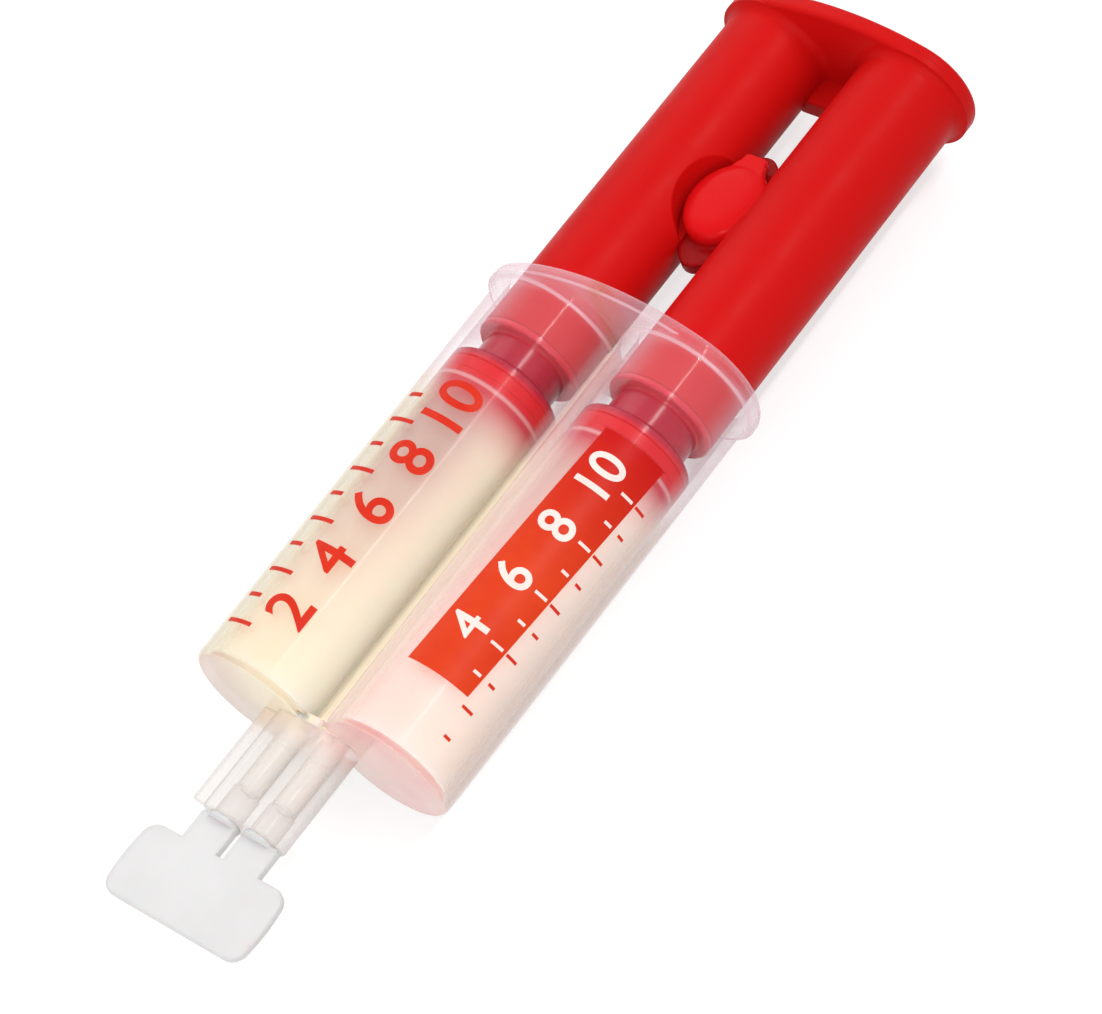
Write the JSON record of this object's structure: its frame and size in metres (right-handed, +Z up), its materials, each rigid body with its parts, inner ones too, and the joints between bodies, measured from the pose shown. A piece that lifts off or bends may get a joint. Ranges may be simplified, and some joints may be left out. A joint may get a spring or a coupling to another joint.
{
  "type": "epoxy syringe",
  "caption": "Two-barrel adhesive syringe lying flat: clear twin barrel with an oval finger flange, twin-rod plunger, flat nozzle with a break-off tab, and a stopper held between the rods.",
  "frame": {"origin": "on the surface that the finger flange rests on, below the middle of the whole length and width", "axes": "+X from the thumb plate to the nozzle, +Y toward the hardener barrel (the one with the label), +Z up, out of the face with the scale, the label and the stopper's knob"},
  "size_m": [0.1548, 0.044, 0.027],
  "materials": {
    "clear_plastic": "see-through moulded polypropylene, slightly hazy",
    "milky_plastic": "thin milky polypropylene",
    "print_red": "printed ink and label film",
    "resin": "cream paste",
    "hardener": "pinkish white paste",
    "red_plastic": "moulded red polypropylene, satin",
    "piston_red": "soft red polyethylene"
  },
  "bodies": {
    "barrel": {"left_barrel": "clear_plastic", "right_barrel": "clear_plastic", "barrel_web": "clear_plastic", "finger_flange": "clear_plastic", "outlet_nozzle": "clear_plastic", "label_panel": "print_red", "dose_scale": "print_red", "resin_column": "resin", "hardener_column": "hardener", "resin_thread": "resin", "hardener_thread": "hardener"},
    "tab": {"break_off_tab": "milky_plastic"},
    "plunger": {"left_rod": "red_plastic", "right_rod": "red_plastic", "rod_web": "red_plastic", "thumb_plate": "red_plastic", "left_piston": "piston_red", "right_piston": "piston_red"},
    "stopper": {"stopper_cap": "red_plastic"}
  },
  "joints": [
    {"name": "plunger_press", "type": "slide", "parent": "barrel", "child": "plunger", "axis": [1, 0, 0], "range_m": [0, 0.0475], "deforming": ["resin_column", "hardener_column"]},
    {"name": "stopper_lift", "type": "slide", "parent": "plunger", "child": "stopper", "axis": [0, 0, 1], "range_m": [0, 0.062]},
    {"name": "tab_pull", "type": "slide", "parent": "barrel", "child": "tab", "axis": [1, 0, 0], "range_m": [0, 0.03]}
  ],
  "couplings": [
    {"joint": "stopper_lift", "follows": "plunger_press", "ratio": 1.3}
  ]
}
